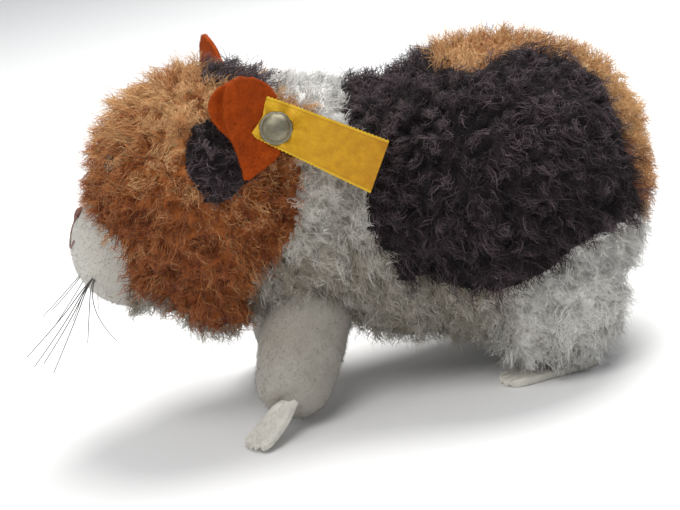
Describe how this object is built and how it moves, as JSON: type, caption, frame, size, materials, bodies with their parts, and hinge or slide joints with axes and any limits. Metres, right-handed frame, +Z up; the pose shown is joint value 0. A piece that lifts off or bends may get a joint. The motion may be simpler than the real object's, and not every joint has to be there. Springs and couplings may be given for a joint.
{
  "type": "stuffed toy guinea pig",
  "caption": "Small standing guinea pig of curly ginger, dark brown and white plush, with felt ears and paws, bristle whiskers and a riveted cloth ear tag.",
  "frame": {"origin": "middle of the toy's box, on the floor that its feet stand on", "axes": "+X from the nose to the tail, +Y to the animal's right, +Z up"},
  "size_m": [0.1648, 0.0962, 0.0949],
  "materials": {
    "ginger_plush": "long curly mohair pile, ginger",
    "dark_plush": "long curly mohair pile, dark brown",
    "white_plush": "long curly mohair pile, white",
    "white_short_plush": "short cut pile, off-white",
    "white_felt": "wool felt, off-white",
    "rust_felt": "wool felt, rust orange",
    "yellow_ribbon": "woven cloth tape with scalloped selvedges, yellow",
    "nickel": "pressed nickel-plated button, softly worn",
    "eye_glass": "polished dark brown dome",
    "face_thread": "embroidery thread, dull pink",
    "bristle": "nylon bristle, dark grey",
    "seam_thread": "strong sewing thread, off-white",
    "stuffing": "synthetic wadding, white"
  },
  "bodies": {
    "torso": {"back_patch": "ginger_plush", "belly_gusset": "white_plush", "body_stuffing": "stuffing", "cheek_left": "ginger_plush", "cheek_right": "ginger_plush", "chin": "white_plush", "closing_seam": "seam_thread", "crown_patch": "dark_plush", "ear_patch_left": "dark_plush", "ear_patch_right": "dark_plush", "eye_left": "eye_glass", "eye_right": "eye_glass", "flank_left": "white_plush", "flank_right": "white_plush", "forehead": "ginger_plush", "haunch_left": "white_plush", "haunch_left_stuffing": "stuffing", "haunch_right": "white_plush", "haunch_right_stuffing": "stuffing", "head_stuffing": "stuffing", "hind_foot_left": "white_felt", "hind_foot_right": "white_felt", "mouth": "face_thread", "muzzle": "white_short_plush", "neck_left": "white_plush", "neck_right": "white_plush", "nose": "face_thread", "nose_bridge": "ginger_plush", "rump": "ginger_plush", "saddle_left": "dark_plush", "saddle_right": "dark_plush", "seat": "white_plush", "whiskers_left": "bristle", "whiskers_right": "bristle", "withers": "dark_plush"},
    "front_leg_left": {"front_leg_left_inner": "white_short_plush", "front_leg_left_outer": "white_short_plush", "front_leg_left_stuffing": "stuffing"},
    "front_leg_right": {"front_leg_right_inner": "white_short_plush", "front_leg_right_outer": "white_short_plush", "front_leg_right_stuffing": "stuffing"},
    "front_paw_left": {"front_paw_left": "white_felt"},
    "front_paw_right": {"front_paw_right": "white_felt"},
    "left_ear": {"ear_left": "rust_felt", "ear_button": "nickel", "ear_washer": "nickel"},
    "tag": {"ear_tag": "yellow_ribbon"},
    "right_ear": {"ear_right": "rust_felt"}
  },
  "joints": [
    {"name": "front_leg_left_swing", "type": "hinge", "parent": "torso", "child": "front_leg_left", "pos_m": [-0.01367, -0.02108, 0.02551], "axis": [0, 1, 0], "range_deg": [-20, 20], "stiffness_Nm_per_rad": 0.12},
    {"name": "front_paw_left_flex", "type": "hinge", "parent": "front_leg_left", "child": "front_paw_left", "pos_m": [-0.01603, -0.03072, 0.01175], "axis": [-0.866, 0.5, 0], "range_deg": [-25, 35], "stiffness_Nm_per_rad": 0.05},
    {"name": "front_leg_right_swing", "type": "hinge", "parent": "torso", "child": "front_leg_right", "pos_m": [-0.01367, 0.00892, 0.02551], "axis": [0, 1, 0], "range_deg": [-20, 20], "stiffness_Nm_per_rad": 0.12},
    {"name": "front_paw_right_flex", "type": "hinge", "parent": "front_leg_right", "child": "front_paw_right", "pos_m": [-0.01603, 0.01855, 0.01175], "axis": [0.866, 0.5, 0], "range_deg": [-25, 35], "stiffness_Nm_per_rad": 0.05},
    {"name": "left_ear_fold", "type": "hinge", "parent": "torso", "child": "left_ear", "pos_m": [-0.02052, -0.04018, 0.06853], "axis": [0.9835, 0, -0.1809], "range_deg": [0, 35], "stiffness_Nm_per_rad": 0.004},
    {"name": "tag_swivel", "type": "hinge", "parent": "left_ear", "child": "tag", "pos_m": [-0.01179, -0.03669, 0.07786], "axis": [0.056, -0.951, 0.304], "range_deg": [-15, 25]},
    {"name": "right_ear_fold", "type": "hinge", "parent": "torso", "child": "right_ear", "pos_m": [-0.02337, 0.02553, 0.07488], "axis": [-0.1591, 0.4693, -0.8686], "range_deg": [-15, 40], "stiffness_Nm_per_rad": 0.004}
  ]
}
